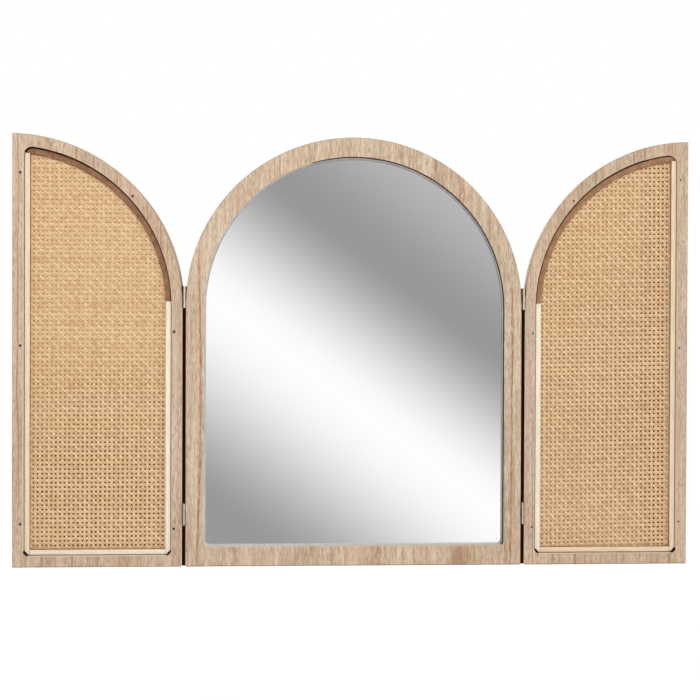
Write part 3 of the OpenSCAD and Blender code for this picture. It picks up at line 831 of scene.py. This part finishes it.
def near_lamp(place, size, power):
    """A soft round lamp near the part, which lights what is closest to it a little more."""
    data = bpy.data.lights.new("near_lamp", "AREA")
    data.shape = "DISK"
    data.size = size
    data.energy = power
    lamp = bpy.data.objects.new("near_lamp", data)
    bpy.context.scene.collection.objects.link(lamp)
    lamp.location = place
    lamp.rotation_mode = "QUATERNION"
    lamp.rotation_quaternion = Vector(place).to_track_quat("Z", "Y")
    lamp.visible_glossy = False


def make_floor():
    corners = [(x * FLOOR_HALF, y * FLOOR_HALF, FLOOR_Z) for x, y in ((-1, -1), (1, -1), (1, 1), (-1, 1))]
    floor = stage_plane("floor", corners)
    material, n = new_material("pale_floor")
    grain = n.noise(own_place(n), (0.4, 0.4, 0.4), 3.0, 0.5)
    seen = n.add("LightPath").outputs["Is Camera Ray"]
    n.surface({
        "Base Color": n.mix(grain, srgb(246, 246, 246), srgb(250, 250, 250)),
        "Roughness": 0.8,
        "Emission Color": (1, 1, 1, 1),
        "Emission Strength": n.math("MULTIPLY", seen, FLOOR_GLOW),
    })
    assign(floor, material)


# The place of the sheet of painted light and shade behind the cane, and how far from the shutter's outline
# it ends
BACKING_Y = 0.5 * MM
BACKING_INSET = 17 * MM
# The shade in a hinge gap starts this far behind the front, and reaches this far into both boards
GAP_DEPTH = 6 * MM
GAP_OVERLAP = 1 * MM


def gap_strip(sign):
    """The shade in a hinge gap, as a closed outline."""
    hinge_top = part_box("right_upper_hinge_pin")[1].z
    a, b = sorted((sign * (ARCH_R - GAP_OVERLAP), sign * (HINGE_X + GAP_OVERLAP)))
    y = FRONT_Y + GAP_DEPTH
    return [(a, y, FOOT_Z), (b, y, FOOT_Z), (b, y, hinge_top), (a, y, hinge_top)]


def cane_patch(sign):
    """The sheet of painted light and shade behind a shutter's cane, as a closed outline."""
    near, far = HINGE_X + BACKING_INSET, EDGE_X - BACKING_INSET
    reach = ARCH_R - BACKING_INSET
    turns = 32
    start = math.asin((SHUTTER_ARCH_X - far) / reach)
    outline = [(far, FOOT_Z + BACKING_INSET), (near, FOOT_Z + BACKING_INSET)]
    for k in range(turns + 1):
        t = math.pi / 2 - (math.pi / 2 - start) * k / turns
        outline.append((SHUTTER_ARCH_X - reach * math.sin(t), SPRING_Z + reach * math.cos(t)))
    return [(sign * x, BACKING_Y, z) for x, z in outline]


def make_backing(name, outlines, painting):
    """Painted shade and light behind openings, not seen from behind. The function given third builds its
    colour and how clear it is.
    """
    vertices, faces = [], []
    for outline in outlines:
        faces.append(tuple(range(len(vertices), len(vertices) + len(outline))))
        vertices.extend(outline)
    backing = add_mesh(name, vertices, faces)
    shape = bmesh.new()
    shape.from_mesh(backing.data)
    for face in shape.faces:
        face.normal_update()
        if face.normal.y > 0:
            face.normal_flip()
    shape.to_mesh(backing.data)
    shape.free()
    material, n = new_material(name)
    colour, clearness = painting(n)
    emission = n.add("Emission", {"Color": colour, "Strength": 1.0})
    clear = n.add("BsdfTransparent")
    behind = n.add("NewGeometry").outputs["Backfacing"]
    share = n.math("MAXIMUM", behind, clearness)
    n.output(n.add("MixShader", {0: share, 1: emission.outputs[0], 2: clear.outputs[0]}))
    assign(backing, material)
    only_seen_by(backing, camera=True, glossy=True, transmission=True)


def gap_painted_shade(n):
    """Painted shade: nearly black between the shutter and the frame, and clear where no shutter stands
    beside it.
    """
    place = n.add("NewGeometry").outputs["Position"]
    side = n.math("SIGN", n.split(place)["X"])
    outward = n.add("CombineXYZ", {"X": n.math("MULTIPLY", side, 0.7), "Y": -0.7, "Z": 0.0}).outputs[0]
    inputs = {"Distance": GAP_REACH, "Normal": outward}
    opening = n.add("AmbientOcclusion", inputs, samples=16).outputs["AO"]
    return srgb(*GAP_SHADE), n.span(opening, 0.66, 0.86)


# Where the painted shade seen through the cane's holes is darkest: a place on the sheet behind, how far it
# reaches, and its strength
DARK_HOLES = {"left": ((-0.3, -0.21), 0.25, 1.0), "right": ((0.375, -0.08), 0.235, 0.85)}
# The holes beside the right shutter's meeting edge show painted shade all the way up, between these places
# across
DARK_EDGE_X = (0.34, 0.368)


def cane_painted_light_and_shade(n):
    """Painted shade and light behind the weave: brown, darkest beside the wood, and clear where no shutter
    stands in front.
    """
    opening = n.add("AmbientOcclusion", {"Distance": 60 * MM}, samples=16).outputs["AO"]
    place = n.add("NewGeometry").outputs["Position"]
    drift = n.noise(place, (70 * MM, 70 * MM, 50 * MM), 2.0, 0.5)
    depths = []
    for (x, z), reach, strength in DARK_HOLES.values():
        away = n.compare("DISTANCE", place, (x, BACKING_Y, z))
        away = n.math("ADD", away, n.math("MULTIPLY", drift, 0.12))
        depths.append(n.span(away, 0.4 * reach, 1.2 * reach, strength, 0))
    across = n.split(place)["X"]
    pale = n.mix(n.math("GREATER_THAN", across, 0.0), srgb(205, 169, 136), srgb(178, 134, 94))
    open_part = n.mix(n.math("MAXIMUM", *depths), pale, srgb(96, 44, 0))
    open_part = n.mix(n.span(across, *DARK_EDGE_X, 0, 0.9), open_part, srgb(44, 16, 0))
    return n.mix(n.span(opening, 0.02, 0.1), srgb(48, 22, 2), open_part), n.span(opening, 0.35, 0.7)


# The card that the mirror shows: a slanted white band that falls off to grey on both sides
CARD_Y = -3.0
CARD_HALF_LENGTH = 6.0
CARD_HALF_WIDTH = 2.2
BAND_SLOPE = 0.752
# The band's middle in the glass, x and z, and half its width there
BAND_POINT = (-0.0045, -0.092)
BAND_HALF = 0.2128
CARD_GREY = srgb(154, 154, 154)[0]
# The card's light at places across it, given in half widths of the band
BAND_STOPS = ((-1.18, CARD_GREY), (0.0, 1.02), (0.94, CARD_GREY), (1.7, 0.5))


def make_mirror_card():
    """A card in front of the mirror, tilted so that its band lies in the glass as in the photograph."""
    to_glass = glass_low.y - CAMERA_AT.y
    spread = (to_glass + glass_low.y - CARD_Y) / to_glass
    centre_x = CAMERA_AT.x + (BAND_POINT[0] - CAMERA_AT.x) * spread
    centre_z = CAMERA_AT.z + (BAND_POINT[1] - CAMERA_AT.z) * spread
    tilt = math.atan(BAND_SLOPE)
    along, across = CARD_HALF_LENGTH, CARD_HALF_WIDTH
    corners = [(-along, 0, -across), (along, 0, -across), (along, 0, across), (-along, 0, across)]
    card = stage_plane("mirror_card", corners)
    card.location = (centre_x, CARD_Y, centre_z)
    card.rotation_euler = (0, tilt, 0)
    material, n = new_material("mirror_card")
    height = n.split(own_place(n))["Z"]
    level = n.add("ValToRGB", {0: n.span(height, -across, across, smooth=False)})
    ramp = level.color_ramp
    ramp.interpolation = "EASE"
    half = BAND_HALF * spread * math.cos(tilt)
    stops = [(-across, 1.0), *((half * share, value) for share, value in BAND_STOPS), (across, 1.0)]
    while len(ramp.elements) < len(stops):
        ramp.elements.new(0.5)
    for element, (at, value) in zip(ramp.elements, stops):
        element.position = (at + across) / (2 * across)
        element.color = (value, value, value, 1)
    n.output(n.add("Emission", {"Color": level.outputs[0], "Strength": 1.0}))
    assign(card, material)
    only_seen_by(card, glossy=True)


def make_stage():
    bpy.context.scene.view_settings.view_transform = "Standard"
    make_world()
    sun("key", azimuth=12, elevation=28, strength=0.95, angle=14)
    sun("side_light", azimuth=62, elevation=15, strength=0.5, angle=20)
    near_lamp(place=(-0.28, -1.3, 0.8), size=0.6, power=8.2)
    sun("back_light", azimuth=205, elevation=35, strength=2.0, angle=30)
    make_floor()
    make_backing("painted_shade_behind_gaps", [gap_strip(-1), gap_strip(1)], gap_painted_shade)
    make_backing("painted_light_and_shade_behind_cane", [cane_patch(-1), cane_patch(1)], cane_painted_light_and_shade)
    make_mirror_card()


# The part

# Where each part's grain is cut from the veneer
GRAIN = {"mirror": (3.1, 7.7, 1.9), "left": (11.3, 2.9, 5.1), "right": (6.7, 13.1, 8.3)}
# A face less than this far inside a board's outline belongs to its outer edge
OUTER_EDGE = 3 * MM
# The chamfer's faces below this height take painted shade
FOOT_SHADE_Z = FOOT_Z + 0.6 * ARRIS_W
# A face of a board nearer than this to a brad's head is part of the rim of the brad's hole
NAIL_RIM = 1.8 * MM
# The radius of the stain round a brad's head
NAIL_STAIN = {"left": 2.1 * MM, "right": 1.3 * MM}
# The rounded lower corners of a shutter's window lie below this height
CORNER_TOP_Z = FOOT_Z + 30 * MM


def nail_places(side):
    """The middles of the sunk brad heads, with the radius of the stain round each."""
    groups = []
    for vertex in frame["nodes"][f"{side}_brads"].data.vertices:
        point = Vector((vertex.co.x, FRONT_Y, vertex.co.z))
        near = [group for group in groups if (group[0] - point).length < 3 * MM]
        if near:
            near[0].append(point)
        else:
            groups.append([point])
    return [(sum(group, Vector()) / len(group), NAIL_STAIN[side]) for group in groups]


def faces_left(place):
    """Whether the edge of the mirror's opening faces left or down at a place, where it takes painted
    shade.
    """
    rise = max(0, place.z - SPRING_Z)
    return place.x + 0.3 * rise > 0 and place.z > glass_low.z + EDGE_SHADE_RISE


def mirror_face(face):
    """The number of the material of one face of the mirror frame."""
    at = face.center
    number = face.material_index
    arris = number == ARRIS
    in_rebate = glass_low.y - 0.5 * MM < at.y < -0.05 * MM
    past_outline = math.hypot(at.x, max(0, at.z - SPRING_Z)) > ARCH_R - OUTER_EDGE
    outside = past_outline or at.z < FOOT_Z + OUTER_EDGE
    # Edges of the opening that face left or down take painted shade, the others a paler edge as painted
    # light
    if arris and not outside:
        number = INNER_EDGE if faces_left(at) else PALE
    if number == DARK and (outside or not faces_left(at)):
        number = VENEER
    if arris and outside and at.z < FOOT_SHADE_Z:
        number = FOOT
    if not arris and in_rebate:
        number = VENEER if outside else BARE
    elif not arris and not outside and abs(face.normal.y) < 0.5:
        number = INNER_EDGE
    if not arris and abs(at.x) > ARCH_R - 0.1 * MM:
        number = GAP_EDGE
    return number


def shutter_face(face, side, layer, nails):
    """The number of the material of one face of a shutter's layer."""
    at = face.center
    u = abs(at.x)
    number = face.material_index
    arris = number == ARRIS
    arch_away = math.hypot(SHUTTER_ARCH_X - u, at.z - SPRING_Z)
    past_arch = at.z > SPRING_Z and arch_away > ARCH_R - OUTER_EDGE
    outside = past_arch or u > EDGE_X - OUTER_EDGE or at.z < FOOT_Z + OUTER_EDGE
    slanted = min(abs(face.normal.x), abs(face.normal.z)) > 0.2
    if arris and not outside:
        number = INNER_EDGE
    if arris and at.z < FOOT_SHADE_Z:
        number = FOOT
    # Walls of the window: painted shade along the arch and in the lower corners, painted light on the rest
    if layer == "inner":
        if any((at - nail).xz.length < NAIL_RIM for nail, _ in nails):
            number = HOLE_RIM
        elif not arris and not outside and abs(face.normal.y) < 0.3:
            number = DARK if at.z > SPRING_Z and u < EDGE_X - DARK_WALL_END[side] else PALE
        if slanted and not outside and at.z < CORNER_TOP_Z:
            number = DARK
    elif abs(at.y - LAYER_Y) < 0.01 * MM:
        number = BARE
    if not arris and u < HINGE_X + 0.1 * MM:
        number = GAP_EDGE
    return number


def dress_mirror_frame(woods):
    veneer = oak("oak_mirror", GRAIN["mirror"], mirror_front=True)
    gap_veneer = oak("oak_mirror_gap_edge", GRAIN["mirror"], lines_gap=True)
    board = eased_rim("mirror_frame", "veneered_mirror_frame", FRONT_Y, EDGE_SHADE_W)
    assign(
        board, veneer, woods["dark_arris"], shaded_opening_edge(), woods["board_core"], gap_veneer,
        woods["painted_foot_shade"], woods["pale_arris"], woods["front_shade"],
    )
    for face in board.data.polygons:
        face.material_index = mirror_face(face)


def dress_shutter_frame(side, woods):
    nails = nail_places(side)
    veneer = oak(f"oak_{side}", GRAIN[side], nails)
    gap_veneer = oak(f"oak_{side}_gap_edge", GRAIN[side], lines_gap=True)
    ledge = bare_ledge(side)
    for layer, y in (("inner", FRONT_Y), ("outer", BACK_Y)):
        board = eased_rim(f"{side}_{layer}_frame", f"{side}_{layer}_veneer", y)
        assign(
            board, veneer, woods["dark_arris"], woods["pale_arris"], ledge, gap_veneer,
            woods["painted_foot_shade"], woods["pale_edge"], woods["dark_edge"], woods[f"{side}_hole_rim"],
        )
        for face in board.data.polygons:
            face.material_index = shutter_face(face, side, layer, nails)


# The pale tone of each straight bead. The dark one is BEAD_STEP below it.
BEAD_TONES = {
    "left_edge": (228, 210, 184),
    "right_edge": (230, 211, 181),
    "left_hinge": (236, 228, 210),
    "right_hinge": (234, 226, 208),
    "left_bottom": (230, 218, 198),
    "right_bottom": (228, 208, 176),
}
BEAD_STEP = 20
# The size of the beads' grain, in mm
UPRIGHT_GRAIN = (2, 2, 30)
LEVEL_GRAIN = (30, 2, 2)
# The number of a bead's material on its side towards the cane, which is darker as painted shade
BEAD_FLANK = 1


def dress_straight_bead(side, kind, woods):
    name = f"{side}_{kind}"
    pale = BEAD_TONES[name]
    dark = [value - BEAD_STEP for value in pale]
    grain = LEVEL_GRAIN if kind == "bottom" else UPRIGHT_GRAIN
    wood = plain_wood(f"{name}_bead_wood", pale, dark, grain, 0.55, 0.05)
    bead = eased(f"{name}_bead", f"{name}_bead_eased", BEAD_EASE)
    assign(bead, wood, woods["bead_flank"])
    middle = Vector((SIGN[side] * CANE_MIDDLE_X, 0, CANE_MIDDLE_Z))
    for face in bead.data.polygons:
        if abs(face.normal.y) < 0.3 and face.normal.dot(middle - face.center) > 0:
            face.material_index = BEAD_FLANK


def dress_arch_bead(side, woods):
    bead = eased(f"{side}_arch_bead", f"{side}_arch_bead_eased", ARCH_BEAD_EASE)
    assign(bead, woods[f"{side}_brown_fibreboard"])


# The dark flecks on each panel: x, z and radius
FLECKS = {
    "left": (
        (-0.3675, 0.184, 0.8 * MM),
        (-0.328, 0.152, 0.7 * MM),
        (-0.3175, 0.1145, 0.7 * MM),
        (-0.3185, 0.081, 0.7 * MM),
        (-0.253, 0.0, 0.8 * MM),
    ),
    "right": (
        (0.352, 0.0695, 0.8 * MM),
    ),
}
# The size of the cane's fibres on the upright and the level strands
UPRIGHT_FIBRE = (0.35 * MM, 0.35 * MM, 14 * MM)
LEVEL_FIBRE = (14 * MM, 0.35 * MM, 0.35 * MM)
WARP_SEED = {"left": 11, "right": 12}
WEFT_SEED = {"left": 23, "right": 24}


def dress_cane(side):
    spots = [((x, cane_low.y, z), size) for x, z, size in FLECKS[side]]
    warp = cane_skin(f"{side}_cane_upright", UPRIGHT_FIBRE, (196, 154, 112), (214, 178, 138), spots)
    weft = cane_skin(f"{side}_cane_level", LEVEL_FIBRE, (194, 156, 108), (214, 181, 134), spots)
    weave(side, "warp", warp, WARP_SEED[side])
    weave(side, "weft", weft, WEFT_SEED[side])


def dress_metal():
    brass = {
        "left": brass_with_painted_highlight("brass_left", (202, 190, 172), (0.64, -0.77, 0), 0.3),
        "right": brass_with_painted_highlight("brass_right", (228, 208, 182), (0, -1, 0), 0.8),
    }
    steel = metal("steel", (170, 170, 172), (130, 130, 134), 0.35)
    rusty = metal("rusty_steel", (64, 44, 34), (36, 22, 16), 0.6)
    for name, node in frame["nodes"].items():
        if "leaf" in name or "hinge_screws" in name:
            assign(node, brass[name.split("_")[0]])
        if "pin" in name or "hanger" in name or name == "glazing_points":
            assign(node, steel)
        if "brads" in name:
            assign(node, rusty)


def dress_glass(woods):
    assign(frame["nodes"]["mirror_glass"], mirror_glass())
    assign(frame["nodes"]["backboard"], woods["hardboard"])


make_camera()
make_stage()
woods = {name: plain_wood(name, *values) for name, values in WOODS.items()}
dress_mirror_frame(woods)
for side in SIDES:
    dress_shutter_frame(side, woods)
for side in SIDES:
    for kind in ("edge", "hinge", "bottom"):
        dress_straight_bead(side, kind, woods)
    dress_arch_bead(side, woods)
for side in SIDES:
    dress_cane(side)
dress_metal()
dress_glass(woods)
